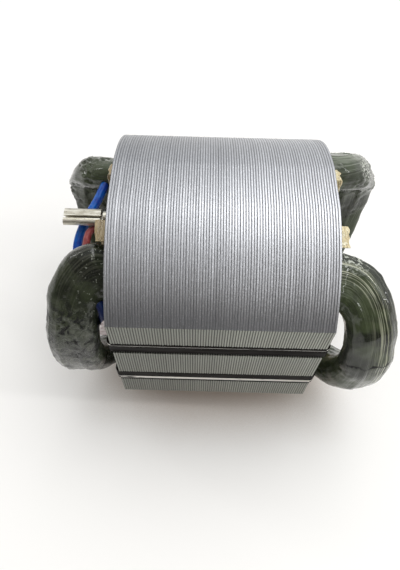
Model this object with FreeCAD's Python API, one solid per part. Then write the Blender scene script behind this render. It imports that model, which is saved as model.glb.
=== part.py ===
"""Wound field (stator) of a small two-pole universal motor, in millimetres.

A stack of stamped steel sheets carries two pole shoes, in front of and behind
the rotor bore.  Four folded paper liners insulate the slots beside the poles,
two varnished coils pass through them and arch over each end, four steel cleats
clamp the sheets, and a push-on terminal and two leads serve the coils.

Frame: origin on the bore axis at mid stack, X along the bore, -Y through the
front pole, +Z up.  The stack lies on its lower side facet.
"""
import FreeCAD, Part
import os
from math import acos, cos, degrees, pi, radians, sin, tan

from FreeCAD import Vector

os.makedirs("parts", exist_ok=True)

# ------------------------------------------------------------ driving sizes
# Lamination stack
sheet_thickness = 0.5
sheet_count = 84
sheets_per_ridge = 6        # sheets that share one modelled ridge
ridge_depth = 0.15          # how far the crevice between two ridges goes in
outer_radius = 29.25
pole_flat_inset = 5.25      # outer radius to the flat behind each pole
facet_inset = 0.35          # outer radius to the small facets above and below
bore_radius = 16.0
pole_arc_angle = 118.0      # angle that one pole shoe covers, degrees
shoe_thickness = 1.9
pole_neck_width = 17.0
yoke_thickness = 4.4
pole_back_thickness = 2.9   # steel between a slot and the flat behind the pole

# Cleats and the grooves that they are pressed into
cleat_spacing = 14.4        # between the two grooves of one flat
cleat_width = 3.9
cleat_thickness = 0.8
cleat_side_gap = 0.25
cleat_rib_width = 0.7       # bright rib along the outer side of a cleat
cleat_rib_height = 0.25
cleat_bend_share = 0.95     # of the strip's thickness, for its outer bends
hook_slot_gap = 0.15        # between a bent cleat end and the slot

# Slot liners
paper_thickness = 0.3
liner_gap = 0.05            # between the paper and the slot wall
cuff_length = 2.8           # folded tab outside each end face
cuff_thickness = 0.55
cuff_gap = 0.15             # between the tab and the bundle's edge
liner_closing_angle = 76.5  # where the paper closes the slot, from the pole

# Coils
coil_gap = 0.02             # between the bundle and its paper
root_gap = 0.3              # between an end face and the bundle's wider root
root_start_angle = 38.5     # near edge of the root, from the pole
bundle_end_angle = 67.0     # far edge of the bundle, from the pole
bundle_faces = 16           # flats of the taped bundle, round its section
slot_squareness = 2.5       # exponent of the section's outline in the slot
turn_squareness = 2.3       # exponent of the arch, seen along the pole
turn_steps = 14             # lengths of flat facets along one end turn
# Each end turn: far and near edge of the arch beyond the end face, how far
# its crown and its root lie inside the stack's outer radius, the bundle's
# depth at the crown, the exponents of its outer and inner outline there, and
# how much shorter its far face is at its outer side
front_right_turn = (14.7, 4.1, 2.35, 3.25, 8.4, 2.6, 2.6, 0.0)
front_left_turn = (14.1, 2.9, 4.85, 4.85, 7.0, 2.6, 2.6, 0.0)
rear_right_turn = (17.0, 6.0, 2.25, 2.25, 8.4, 2.2, 4.5, 2.4)
rear_left_turn = (15.7, 4.0, 4.55, 4.55, 7.0, 2.2, 4.5, 1.8)

# Terminal, between the coils above the bore, and the leads
terminal_length = 7.4
terminal_width = 3.8
terminal_height = 1.8
terminal_metal = 0.35
terminal_mouth = 0.6        # between the two curled edges
terminal_mouth_offset = 0.6  # from the middle, towards the front pole
terminal_end_gap = 3.3      # end face to the receptacle's inner end
terminal_lift = 1.0         # bore radius to the terminal's base
terminal_neck_length = 0.6  # between the receptacle and its crimp
terminal_neck_width = 1.8
crimp_length = 2.2
crimp_gap = 0.05            # round the lead, inside the crimp
lead_reach = 8.9            # how far the blue link stands out from the end face
blue_lead_diameter = 1.9
red_lead_diameter = 1.5
lead_flats = 6              # flats round a lead
bend_share = 0.45           # of the shorter run that each bend takes up

# ------------------------------------------------------------ derived sizes
stack_length = sheet_thickness * sheet_count
stack_half = stack_length / 2
ridge_count = sheet_count // sheets_per_ridge
ridge_pitch = stack_length / ridge_count
pole_flat_distance = outer_radius - pole_flat_inset
side_facet_distance = outer_radius - facet_inset
shoe_radius = bore_radius + shoe_thickness
yoke_radius = outer_radius - yoke_thickness
slot_back = pole_flat_distance - pole_back_thickness
groove_width = cleat_width + 2 * cleat_side_gap
groove_depth = cleat_thickness + cleat_rib_height
hook_reach = pole_back_thickness - groove_depth - hook_slot_gap
bundle_inner_radius = shoe_radius + liner_gap + paper_thickness + coil_gap
bundle_outer_radius = yoke_radius - liner_gap - paper_thickness - coil_gap
bundle_start_angle = degrees(acos(slot_back / yoke_radius))
cuff_start_angle = bundle_end_angle + degrees(cuff_gap / bundle_inner_radius)
cutter_margin = 1.0         # how far cutters run on past what they cut
X_AXIS = Vector(1, 0, 0)
ORIGIN = Vector(0, 0, 0)
SHARP = 2                   # offset outlines keep sharp corners
SAME_PLACE = 1e-6           # lengths nearer than this are the same


def export(shape, node):
    """Write one sub-part to its own STEP file."""
    shape.exportStep("parts/" + node + ".step")


def polygon(points):
    """Closed wire through points."""
    return Part.makePolygon(list(points) + [points[0]])


def disc(radius, x=0.0):
    """Round face about the bore axis, facing along X."""
    return Part.Face(Part.Wire(Part.makeCircle(radius, Vector(x, 0, 0), X_AXIS)))


def panel(y_low, y_high, z_low, z_high, x=0.0):
    """Rectangular face across the bore axis."""
    corners = [Vector(x, y_low, z_low), Vector(x, y_high, z_low),
               Vector(x, y_high, z_high), Vector(x, y_low, z_high)]
    return Part.Face(polygon(corners))


def sector(radius, angle_low, angle_high):
    """Pie-shaped face about the bore axis; angles run from -Y towards +Z."""
    reach = radius * 3      # far enough for the polygon to hold the whole pie
    corners = [ORIGIN]
    for angle in (angle_low, (angle_low + angle_high) / 2, angle_high):
        corners.append(Vector(0, -reach * cos(radians(angle)), reach * sin(radians(angle))))
    return disc(radius).common(Part.Face(polygon(corners)))


def turned(shape, angle):
    """Copy of a shape, turned about the bore axis."""
    copy = shape.copy()
    copy.rotate(ORIGIN, X_AXIS, angle)
    return copy


def flipped(shape, normal):
    """Mirror image of a shape in the plane through the origin with this normal."""
    return shape.mirror(ORIGIN, normal)


# ------------------------------------------------------- lamination stack
def zigzag(level):
    """Edge of the stack, seen from the side: crests at level, crevices below it."""
    points = []
    for ridge in range(ridge_count):
        start = -stack_half + ridge * ridge_pitch
        points.append(Vector(start, level - ridge_depth, 0))
        points.append(Vector(start + ridge_pitch / 2, level, 0))
    points.append(Vector(stack_half, level - ridge_depth, 0))
    return points


def ridged_body():
    """Solid of the sheets' outline, ridged like the edges of stacked sheets."""
    round_profile = zigzag(outer_radius)
    round_profile += [Vector(stack_half, 0, 0), Vector(-stack_half, 0, 0)]
    round_body = Part.Face(polygon(round_profile)).revolve(ORIGIN, X_AXIS, 360)
    back = zigzag(pole_flat_distance)
    front = [Vector(p.x, -p.y, 0) for p in reversed(back)]
    flat_face = Part.Face(polygon(back + front))
    flat_face.translate(Vector(0, 0, -side_facet_distance))
    flat_body = flat_face.extrude(Vector(0, 0, 2 * side_facet_distance))
    return round_body.common(flat_body)


def slot_openings():
    """Face of everything stamped out of a sheet inside the yoke."""
    ring = disc(yoke_radius).cut(disc(shoe_radius))
    ring = ring.common(panel(-slot_back, slot_back, -yoke_radius, yoke_radius))
    neck = panel(-outer_radius, outer_radius, -pole_neck_width / 2, pole_neck_width / 2)
    ring = ring.cut(neck)
    tip = pole_arc_angle / 2
    gap = sector(yoke_radius, tip, 180 - tip)
    return ring.fuse([gap, turned(gap, 180), disc(bore_radius)]).removeSplitter()


def groove(side):
    """Cutter of one cleat groove; side is +1 above the pole and -1 below it."""
    middle = side * cleat_spacing / 2
    width = groove_width / 2
    cutter = panel(-pole_flat_distance - cutter_margin, -pole_flat_distance + groove_depth,
                   middle - width, middle + width, -stack_half - cutter_margin)
    return cutter.extrude(Vector(stack_length + 2 * cutter_margin, 0, 0))


def lamination_stack():
    """All the sheets as one pressed stack, with bore, slots and cleat grooves."""
    openings = slot_openings()
    openings.translate(Vector(-stack_half - cutter_margin, 0, 0))
    stack = ridged_body().cut(openings.extrude(Vector(stack_length + 2 * cutter_margin, 0, 0)))
    grooves = [groove(1), groove(-1)]
    grooves += [turned(cutter, 180) for cutter in grooves]
    return stack.cut(Part.makeCompound(grooves))


# ----------------------------------------------------------------- cleats
def cleat():
    """Steel strip in the upper front groove, bent over both end faces."""
    floor = -pole_flat_distance + groove_depth
    low = cleat_spacing / 2 - cleat_width / 2
    high = cleat_spacing / 2 + cleat_width / 2
    outside = stack_half + cleat_thickness
    side = [Vector(-outside, floor - cleat_thickness, low),
            Vector(outside, floor - cleat_thickness, low),
            Vector(outside, floor + hook_reach, low),
            Vector(stack_half, floor + hook_reach, low),
            Vector(stack_half, floor, low),
            Vector(-stack_half, floor, low),
            Vector(-stack_half, floor + hook_reach, low),
            Vector(-outside, floor + hook_reach, low)]
    strip = Part.Face(polygon(side)).extrude(Vector(0, 0, cleat_width))
    bends = []
    for edge in strip.Edges:
        centre = edge.CenterOfMass
        on_face = abs(centre.y - floor + cleat_thickness) < SAME_PLACE
        if on_face and abs(abs(centre.x) - outside) < SAME_PLACE:
            bends.append(edge)
    strip = strip.makeFillet(cleat_thickness * cleat_bend_share, bends)
    rib = panel(floor - cleat_thickness - cleat_rib_height, floor - cleat_thickness,
                high - cleat_rib_width, high, -stack_half)
    return strip.fuse(rib.extrude(Vector(stack_length, 0, 0))).removeSplitter()


# ----------------------------------------------------------- slot liners
def slot_section():
    """Face of the upper front slot, from the pole's neck to the closing fold."""
    ring = disc(yoke_radius).cut(disc(shoe_radius))
    ring = ring.common(sector(yoke_radius, 0, liner_closing_angle))
    room = panel(-slot_back, 0, pole_neck_width / 2, yoke_radius)
    return ring.common(room)


def plate(face, x_low, x_high):
    """Extrusion of a face that stands at X = 0, between two places along X."""
    body = face.copy()
    body.translate(Vector(x_low, 0, 0))
    return body.extrude(Vector(x_high - x_low, 0, 0))


def slot_liner():
    """Paper sleeve of the upper front slot; the folds that close it stand out
    from both end faces as stiff, varnished tabs."""
    slot = slot_section().Faces[0]
    paper = slot.makeOffset2D(-liner_gap, SHARP)
    inside = slot.makeOffset2D(-liner_gap - paper_thickness, SHARP)
    tab = slot.makeOffset2D(cuff_thickness - paper_thickness, SHARP)
    tab = tab.common(sector(outer_radius, cuff_start_angle, 90))
    sleeve = plate(paper, -stack_half, stack_half)
    right = plate(tab, stack_half, stack_half + cuff_length)
    left = plate(tab, -stack_half - cuff_length, -stack_half)
    reach = stack_half + cuff_length + cutter_margin
    return sleeve.fuse([right, left]).cut(plate(inside, -reach, reach))


# ------------------------------------------------------------------ coils
def rounded(angle, exponent):
    """Point of a rounded square, the superellipse |q|^n + |w|^n = 1."""
    q = cos(angle)
    w = sin(angle)
    size = (abs(q) ** exponent + abs(w) ** exponent) ** (-1 / exponent)
    return q * size, w * size


def bundle_section(near, far, inner, outer, outer_exponent, inner_exponent, lean=0.0):
    """Points round the bundle, between two edges given as (angle, x) pairs and
    two radii; its outer and inner half each have an exponent of their own.

    The far face leans, so that it is shorter by lean at the outer side."""
    points = []
    for face in range(bundle_faces):
        around = 2 * pi * face / bundle_faces
        exponent = outer_exponent if around <= pi else inner_exponent
        q, w = rounded(around, exponent)
        angle = radians((near[0] + far[0]) / 2 + q * (far[0] - near[0]) / 2)
        x = (near[1] + far[1]) / 2 + q * (far[1] - near[1]) / 2
        x = x - lean * (1 + w) / 2 * (1 + q) / 2
        r = (inner + outer) / 2 + w * (outer - inner) / 2
        points.append(Vector(x, -r * cos(angle), r * sin(angle)))
    return points


def slot_end(end, side):
    """Section of the bundle where it leaves a slot, at the end face."""
    x = end * stack_half
    near = (side * bundle_start_angle, x)
    far = (side * bundle_end_angle, x)
    return bundle_section(near, far, bundle_inner_radius, bundle_outer_radius,
                          slot_squareness, slot_squareness)


def blend(share, start, finish):
    """Value between two others."""
    return start + share * (finish - start)


def end_turn(end, reach, window, crown_inset, root_inset, depth, outer_crown, inner_crown, lean):
    """Sections of one arch, from the upper slot to the lower; end is +1 or -1.

    The near edge of the arch and its far edge each follow half a superellipse
    on the cylinder about the bore, and every section spans the two."""
    crown_radius = outer_radius - crown_inset
    root_radius = outer_radius - root_inset
    root_x = stack_half + root_gap
    sections = [slot_end(end, 1)]
    for step in range(turn_steps + 1):
        along, out = rounded(pi * step / turn_steps, turn_squareness)
        lift = 3 * out ** 2 - 2 * out ** 3
        near = (root_start_angle * along, end * blend(out, root_x, stack_half + window))
        far = (bundle_end_angle * along, end * blend(out, root_x, stack_half + reach))
        inner = blend(lift, bundle_inner_radius, crown_radius - depth)
        outer = blend(lift, root_radius, crown_radius)
        sections.append(bundle_section(near, far, inner, outer,
                                       blend(lift, slot_squareness, outer_crown),
                                       blend(lift, slot_squareness, inner_crown), end * lean * out))
    sections.append(slot_end(end, -1))
    return sections


def coil(right_turn, left_turn):
    """Coil round the front pole, as one closed band of flat facets.

    The sections run down through the right arch, back through the lower slot,
    up through the left arch and home through the upper slot."""
    sections = end_turn(1, *right_turn) + end_turn(-1, *left_turn)[::-1]
    facets = []
    for here, ahead in zip(sections, sections[1:] + sections[:1]):
        for face in range(bundle_faces):
            after = (face + 1) % bundle_faces
            quad = [here[face], here[after], ahead[after], ahead[face]]
            facets.append(Part.Face(polygon(quad[:3])))
            facets.append(Part.Face(polygon([quad[0], quad[2], quad[3]])))
    shell = Part.makeShell(facets)
    shell.sewShape()
    band = Part.makeSolid(shell)
    if band.Volume < 0:
        band.reverse()
    return band


# --------------------------------------------------------------- terminal
def terminal():
    """Push-on receptacle of folded sheet, its edges curled in over the tab."""
    curl = terminal_height / 2
    base_z = bore_radius + terminal_lift
    top_z = base_z + terminal_height
    curl_y = terminal_width / 2 - curl
    section = panel(-curl_y, curl_y, base_z, base_z + terminal_metal)
    for side in (-1, 1):
        centre = Vector(0, side * curl_y, base_z + curl)
        ring = Part.Face(Part.Wire(Part.makeCircle(curl, centre, X_AXIS)))
        bore = Part.Face(Part.Wire(Part.makeCircle(curl - terminal_metal, centre, X_AXIS)))
        inner_half = sorted((side * curl_y, side * (curl_y - curl - cutter_margin)))
        inner_half = panel(inner_half[0], inner_half[1], base_z + terminal_metal, top_z)
        lip = sorted((side * curl_y, side * terminal_mouth / 2 - terminal_mouth_offset))
        lip = panel(lip[0], lip[1], top_z - terminal_metal, top_z)
        section = section.fuse([ring.cut(bore).cut(inner_half), lip])
    far = -stack_half - terminal_end_gap - terminal_length
    body = plate(section.removeSplitter(), far, far + terminal_length)
    neck_start = far + terminal_length
    crimp_start = neck_start + terminal_neck_length
    hole_radius = red_lead_diameter / 2 + crimp_gap
    crimp_radius = hole_radius + terminal_metal
    axis = Vector(crimp_start, 0, base_z + crimp_radius)
    crimp = Part.makeCylinder(crimp_radius, crimp_length, axis, X_AXIS)
    hole = Part.makeCylinder(hole_radius, crimp_length, axis, X_AXIS)
    neck_half = terminal_neck_width / 2
    neck = plate(panel(-neck_half, neck_half, base_z, base_z + terminal_metal),
                 neck_start - terminal_neck_length, crimp_start + terminal_neck_length)
    return body.fuse([crimp.cut(hole), neck.cut(hole)]).removeSplitter()


# ------------------------------------------------------------------ leads
def tube(points, diameter, node):
    """Round lead along straight runs joined by tangent arcs."""
    edges = []
    start = points[0]
    radii = []
    for before, corner, after in zip(points, points[1:], points[2:]):
        back = before - corner
        ahead = after - corner
        shorter = min(back.Length, ahead.Length)
        turn = pi - back.getAngle(ahead)
        setback = bend_share * shorter
        radii.append(setback / tan(turn / 2))
        arc_start = corner + back * (setback / back.Length)
        arc_end = corner + ahead * (setback / ahead.Length)
        to_centre = (back.normalize() + ahead.normalize()).normalize()
        rise = radii[-1] / cos(turn / 2)
        middle = corner + to_centre * (rise - radii[-1])
        edges.append(Part.LineSegment(start, arc_start).toShape())
        edges.append(Part.Arc(arc_start, middle, arc_end).toShape())
        start = arc_end
    edges.append(Part.LineSegment(start, points[-1]).toShape())
    path = Part.Wire(edges)
    direction = points[1] - points[0]
    ring = Part.makeCircle(diameter / 2, points[0], direction)
    outline = polygon(ring.discretize(lead_flats + 1)[:-1])
    lead = path.makePipe(Part.Face(outline))
    section = lead_flats / 2 * sin(2 * pi / lead_flats) * (diameter / 2) ** 2
    print(node, "length", round(path.Length, 1), "radii", [round(r, 1) for r in radii],
          "volume ratio", round(lead.Volume / (section * path.Length), 4))
    return lead


def beside(out, share, angle):
    """Point beyond the left end face, given as shares: of the leads' reach, and
    of the way from the bore's wall to the yoke's; angles run from -Y to +Z."""
    r = blend(share, bore_radius, yoke_radius)
    return Vector(-stack_half - out * lead_reach, -r * cos(radians(angle)), r * sin(radians(angle)))


def blue_lead():
    """Link between the coils: over the bore, in under the front arch, and out
    through its window into the outer end of the front coil."""
    points = [beside(0.315, 0.613, 120.9), beside(0.494, 0.205, 110.4), beside(0.798, -0.073, 94.5),
              beside(1.0, -0.296, 71.7), beside(0.854, -0.336, 42.5), beside(0.494, -0.025, 22.3),
              beside(0.157, 0.61, 23.7), beside(0.146, 0.95, 31.1), beside(0.2, 0.99, 38.5),
              beside(0.5, 0.76, 47)]
    return tube(points, blue_lead_diameter, "lead_blue")


def red_lead():
    """Lead of the terminal: doubles back from the crimp and enters the front coil."""
    crimp_z = bore_radius + terminal_lift + terminal_metal + crimp_gap + red_lead_diameter / 2
    crimp_end = -stack_half - terminal_end_gap + terminal_neck_length + crimp_length
    points = [Vector(crimp_end - crimp_length, 0, crimp_z), Vector(crimp_end + crimp_length, 0, crimp_z),
              beside(-0.25, 0.15, 79.5), beside(0.258, 0.013, 83.2), beside(0.618, 0.006, 85.4),
              beside(0.685, 0.073, 74), beside(0.62, 0.42, 58)]
    return tube(points, red_lead_diameter, "lead_red")


# ----------------------------------------------------------- the whole part
UP = Vector(0, 0, 1)
places = {"front_upper": lambda piece: piece,
          "front_lower": lambda piece: flipped(piece, UP),
          "rear_upper": lambda piece: flipped(turned(piece, 180), UP),
          "rear_lower": lambda piece: turned(piece, 180)}
nodes = {"lamination_stack": lamination_stack()}
one_cleat = cleat()
one_liner = slot_liner()
for corner, place in places.items():
    nodes["cleat_" + corner] = place(one_cleat)
    nodes["slot_liner_" + corner] = place(one_liner)
nodes["front_coil"] = coil(front_right_turn, front_left_turn)
nodes["rear_coil"] = turned(coil(rear_right_turn, rear_left_turn), 180)
nodes["terminal"] = terminal()
coils = Part.makeCompound([nodes["front_coil"], nodes["rear_coil"]])
nodes["lead_blue"] = blue_lead().cut(coils)
nodes["lead_red"] = red_lead().cut(coils)
for node, shape in nodes.items():
    print(node, "valid", shape.isValid(), "solids", len(shape.Solids), "volume", round(shape.Volume, 1))
    export(shape, node)
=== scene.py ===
"""Dresses the wound field (stator) of a small two-pole universal motor.

Every length in the sections below is in millimetres unless it says otherwise;
lay_mesh() turns them into metres.  X runs along the rotor bore, -Y is the
front pole and +Z is up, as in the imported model.
"""
import bpy
import numpy as np
from mathutils import Matrix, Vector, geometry


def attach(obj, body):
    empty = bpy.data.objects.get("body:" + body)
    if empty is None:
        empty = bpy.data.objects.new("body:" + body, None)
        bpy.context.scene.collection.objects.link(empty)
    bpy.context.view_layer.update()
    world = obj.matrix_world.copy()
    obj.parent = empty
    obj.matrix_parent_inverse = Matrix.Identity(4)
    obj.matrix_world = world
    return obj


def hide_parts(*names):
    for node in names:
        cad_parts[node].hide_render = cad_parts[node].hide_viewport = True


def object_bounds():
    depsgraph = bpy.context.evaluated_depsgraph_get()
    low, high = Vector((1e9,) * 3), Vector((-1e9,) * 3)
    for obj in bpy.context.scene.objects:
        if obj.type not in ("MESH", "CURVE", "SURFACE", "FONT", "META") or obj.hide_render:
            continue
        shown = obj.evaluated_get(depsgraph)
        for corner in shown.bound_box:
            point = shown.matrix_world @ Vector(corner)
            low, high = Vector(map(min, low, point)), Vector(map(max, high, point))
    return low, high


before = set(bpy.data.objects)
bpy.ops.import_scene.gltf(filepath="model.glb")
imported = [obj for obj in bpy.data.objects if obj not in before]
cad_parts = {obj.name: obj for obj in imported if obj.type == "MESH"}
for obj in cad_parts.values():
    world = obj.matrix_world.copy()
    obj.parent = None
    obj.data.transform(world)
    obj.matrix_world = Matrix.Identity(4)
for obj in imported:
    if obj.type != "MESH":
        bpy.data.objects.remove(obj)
cad_low, cad_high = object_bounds()

# ---------------------------------------------------------------- camera
# Held above and a little in front of the motor, looking steeply down at the
# round of the stack, so that both ends of the windings show beside it.
camera_data = bpy.data.cameras.new("bench_camera")
camera_data.sensor_width = 36.0
camera_data.lens = 32.84
camera_data.clip_start = 0.005
camera = bpy.data.objects.new("bench_camera", camera_data)
bpy.context.scene.collection.objects.link(camera)
camera.matrix_world = (Matrix.Translation((-0.00379, -0.06498, 0.10178))
                       @ Matrix.Rotation(np.radians(0.12), 4, "Z")
                       @ Matrix.Rotation(np.radians(90 - 59.36), 4, "X")
                       @ Matrix.Rotation(np.radians(1.40), 4, "Z"))
bpy.context.scene.camera = camera
bpy.context.scene.view_settings.view_transform = "Standard"

# ----------------------------------------------------------- bench and light
# A plain pale bench top under soft studio light: one wide soft box above the
# motor, three narrow ones lower round it, and a pale room that is brightest
# above, behind and to the right.  Where the motor is close above the bench,
# its colour and glow turn brown: a painted shadow.


def lay_mesh(name, points, faces, finishes, finish_of_face=None, unwrap=None):
    """Object from points in millimetres and a list of face arrays.

    Each array holds one face per row, as point numbers; the arrays are laid
    one after another, and unwrap gives a (u, v) pair for every face corner."""
    mesh = bpy.data.meshes.new(name)
    corners = np.concatenate([array.ravel() for array in faces])
    lengths = np.concatenate([np.full(len(array), array.shape[1]) for array in faces])
    mesh.vertices.add(len(points))
    mesh.vertices.foreach_set("co", (np.asarray(points, float) * 0.001).astype(np.float32).ravel())
    mesh.loops.add(len(corners))
    mesh.loops.foreach_set("vertex_index", corners.astype(np.int32))
    mesh.polygons.add(len(lengths))
    mesh.polygons.foreach_set("loop_start", (np.cumsum(lengths) - lengths).astype(np.int32))
    for finish in finishes:
        mesh.materials.append(finish)
    if finish_of_face is not None:
        mesh.polygons.foreach_set("material_index", finish_of_face.astype(np.int32))
    mesh.update(calc_edges=True)
    if unwrap is not None:
        layer = mesh.uv_layers.new(name="run")
        layer.data.foreach_set("uv", unwrap.astype(np.float32).ravel())
    mesh.shade_smooth()
    piece = bpy.data.objects.new(name, mesh)
    bpy.context.scene.collection.objects.link(piece)
    return piece


def put(tree, kind, values=None, **settings):
    """A shader node with its settings; values are constants or sockets to link."""
    made = tree.nodes.new(kind)
    for name, value in settings.items():
        setattr(made, name, value)
    for name, value in (values or {}).items():
        if isinstance(value, bpy.types.NodeSocket):
            tree.links.new(value, made.inputs[name])
        else:
            made.inputs[name].default_value = value
    return made


def finish_tree(name):
    """A new material's node tree, emptied but for its output."""
    finish = bpy.data.materials.new(name)
    finish.use_nodes = True
    tree = finish.node_tree
    tree.nodes.clear()
    return finish, tree, put(tree, "ShaderNodeOutputMaterial")


def spread(tree, value, low, high, to_low=0.0, to_high=1.0):
    """Value from low to high, spread smoothly over to_low to to_high."""
    made = put(tree, "ShaderNodeMapRange", {"Value": value, "From Min": low, "From Max": high,
                                            "To Min": to_low, "To Max": to_high},
               interpolation_type="SMOOTHSTEP")
    return made.outputs[0]


def sum_up(tree, kind, first, second=0.0):
    """One sum done on two values, such as ADD or MAXIMUM."""
    return put(tree, "ShaderNodeMath", {0: first, 1: second}, operation=kind).outputs[0]


def tint(tree, share, first, second):
    """Two colours mixed by a share: 0 is all the first, 1 all the second."""
    made = put(tree, "ShaderNodeMix", {0: share, 6: first, 7: second}, data_type="RGBA")
    return made.outputs[2]


def times(tree, first, second):
    """Product of two values; of two masks, it is what both of them cover."""
    return sum_up(tree, "MULTIPLY", first, second)


def parts_of(tree, vector):
    """The three parts of a vector socket, such as X, Y and Z of a place."""
    return put(tree, "ShaderNodeSeparateXYZ", {0: vector}).outputs


def cloud(tree, where, scale, detail=3.0, roughness=0.55, wander=0.0):
    """Cloudy noise, from about 0.3 to 0.7, with scale in waves per metre."""
    made = put(tree, "ShaderNodeTexNoise", {"Vector": where, "Scale": scale, "Detail": detail,
                                            "Roughness": roughness, "Distortion": wander})
    return made.outputs[0]


bench_half = 900.0
bench_gap = 0.02        # below the part's lowest point
bench_level = cad_low.z * 1000 - bench_gap
bench_finish, tree, out = finish_tree("pale_bench")
# Painted shadow: the ambient-occlusion node browns the bench's colour and dims its glow where the motor is
# close above it.
open_sky = put(tree, "ShaderNodeAmbientOcclusion", {"Distance": 0.019}, samples=8).outputs["AO"]
lit = spread(tree, open_sky, 0.10, 0.95)
paint = put(tree, "ShaderNodeBsdfPrincipled", {
    "Base Color": tint(tree, lit, (0.40, 0.29, 0.20, 1), (0.80, 0.79, 0.77, 1)), "Roughness": 0.8,
    "Specular IOR Level": 0.2}).outputs[0]
glow = put(tree, "ShaderNodeEmission", {"Color": (1.0, 0.997, 0.985, 1),
                                        "Strength": times(tree, lit, 0.20)}).outputs[0]
ray = put(tree, "ShaderNodeLightPath").outputs
seen = sum_up(tree, "MAXIMUM", ray["Is Camera Ray"], ray["Is Glossy Ray"])
seen = sum_up(tree, "MAXIMUM", seen, ray["Is Transmission Ray"])
glowing = put(tree, "ShaderNodeAddShader", {0: glow, 1: paint}).outputs[0]
share = put(tree, "ShaderNodeMixShader", {0: times(tree, seen, 0.5), 1: paint, 2: glowing})
tree.links.new(share.outputs[0], out.inputs[0])
bench_corners = bench_half * np.array([[-1, -1, 0], [1, -1, 0], [1, 1, 0], [-1, 1, 0.0]])
bench_corners[:, 2] = bench_level
bench = lay_mesh("bench_top", bench_corners, [np.array([[0, 1, 2, 3]])], [bench_finish])


def soft_box(name, place, size, watts):
    """A rectangular lamp in metres and watts, facing the motor."""
    lamp = bpy.data.lights.new(name, "AREA")
    lamp.shape = "RECTANGLE"
    lamp.size, lamp.size_y = size
    lamp.energy = watts
    holder = bpy.data.objects.new(name, lamp)
    bpy.context.scene.collection.objects.link(holder)
    holder.matrix_world = Matrix.Translation(place) @ (
        -Matrix.Translation(place).translation).to_track_quat("-Z", "Y").to_matrix().to_4x4()


soft_box("soft_box_above", (0.14, 0.16, 0.66), (0.56, 0.50), 2.4)
soft_box("strip_right", (0.42, -0.06, 0.30), (0.02, 0.40), 0.5)
soft_box("strip_front", (0.32, -0.32, 0.42), (0.02, 0.30), 0.3)
soft_box("strip_left", (-0.42, 0.22, 0.26), (0.02, 0.30), 0.25)

room = bpy.data.worlds.new("pale_room")
room.use_nodes = True
bpy.context.scene.world = room
tree = room.node_tree
tree.nodes.clear()
towards = put(tree, "ShaderNodeTexCoord").outputs["Generated"]
bright_way = put(tree, "ShaderNodeVectorMath", {0: towards, 1: (0.40, 0.5, 0.7)},
                 operation="DOT_PRODUCT").outputs["Value"]
level = spread(tree, bright_way, -0.45, 1.05, 0.12, 1.00)
haze = tint(tree, spread(tree, level, 0.2, 0.9), (1.0, 0.93, 0.86, 1), (0.97, 0.985, 1.0, 1))
sky = put(tree, "ShaderNodeBackground", {"Color": haze, "Strength": level})
wall = put(tree, "ShaderNodeBackground", {"Color": (0.98, 0.98, 0.965, 1), "Strength": 0.97})
shown = put(tree, "ShaderNodeMixShader", {0: put(tree, "ShaderNodeLightPath").outputs["Is Camera Ray"],
                                          1: sky.outputs[0], 2: wall.outputs[0]})
tree.links.new(shown.outputs[0], put(tree, "ShaderNodeOutputWorld").inputs[0])

# ------------------------------------------------------- lamination stack
# 84 sheets of electrical steel, stamped in one die and pressed together, so
# their punched edges show as fine stripes.  Each edge has a bright burnished
# land and a rounded, darker crevice against the next sheet.
sheet = 0.5
sheets = 84
stack_half = sheet * sheets / 2
crevice = 0.08
outer_radius = 29.25
flat_distance = 24.0
facet_distance = 28.9
groove_places = (5.0, 9.4)
groove_depth = 1.05
bore_radius = 16.0
shoe_radius = 17.9
yoke_radius = 24.85
neck_half = 8.5
slot_back = 21.1
tip_angle = 59.0


def arc(radius, first, last, count):
    """Points (y, z) on a circle about the bore; angles run from -Y towards +Z."""
    angle = np.radians(np.linspace(first, last, count))
    return np.stack([-radius * np.cos(angle), radius * np.sin(angle)], 1)


def all_round(quarter):
    """Closed outline from its front upper quarter, mirrored to the other three."""
    upper = np.concatenate([quarter, quarter[::-1] * (-1, 1)])
    outline = np.concatenate([upper, upper[::-1] * (1, -1)])
    apart = np.linalg.norm(outline - np.roll(outline, 1, 0), axis=1) > 1e-6
    return outline[apart]


def outward(outline):
    """Unit normals of a closed outline at its points: the mean of both sides'."""
    side = np.roll(outline, -1, 0) - outline
    side /= np.linalg.norm(side, axis=1)[:, None]
    normal = np.stack([-side[:, 1], side[:, 0]], 1)
    mean = normal + np.roll(normal, 1, 0)
    return mean / np.maximum((mean * normal).sum(1), 0.6)[:, None]


flat_top = np.sqrt(outer_radius ** 2 - flat_distance ** 2)
flat_corner = np.degrees(np.arccos(flat_distance / outer_radius))
facet_corner = np.degrees(np.arcsin(facet_distance / outer_radius))
low, high = groove_places
floor_y = -flat_distance + groove_depth
flat_side = [(-flat_distance, 0.0), (-flat_distance, low), (floor_y, low), (floor_y, high),
             (-flat_distance, high)]
outside = all_round(np.concatenate([flat_side, arc(outer_radius, flat_corner, facet_corner, 26),
                                    [(0.0, facet_distance)]]))
shoe_start = np.degrees(np.arcsin(neck_half / shoe_radius))
yoke_start = np.degrees(np.arccos(slot_back / yoke_radius))
inside = all_round(np.concatenate([arc(bore_radius, 0, tip_angle, 20),
                                   arc(shoe_radius, tip_angle, shoe_start, 10),
                                   [(-slot_back, neck_half)], arc(yoke_radius, yoke_start, 90, 20)]))


def sheet_stations(shares, depths, seed, wander):
    """Places along X and how far the edge lies in there, sheet by sheet.

    Each sheet repeats the same few places; its land sits a little in or out,
    by a random step of its own."""
    dice = np.random.default_rng(seed)
    start = -stack_half + sheet * np.arange(sheets)
    x = (start[:, None] + sheet * np.array(shares)).ravel()
    step = dice.uniform(0, wander, sheets)
    depth = (step[:, None] + np.array(depths)).ravel()
    return np.append(x, stack_half), np.append(depth, depths[0])


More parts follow.
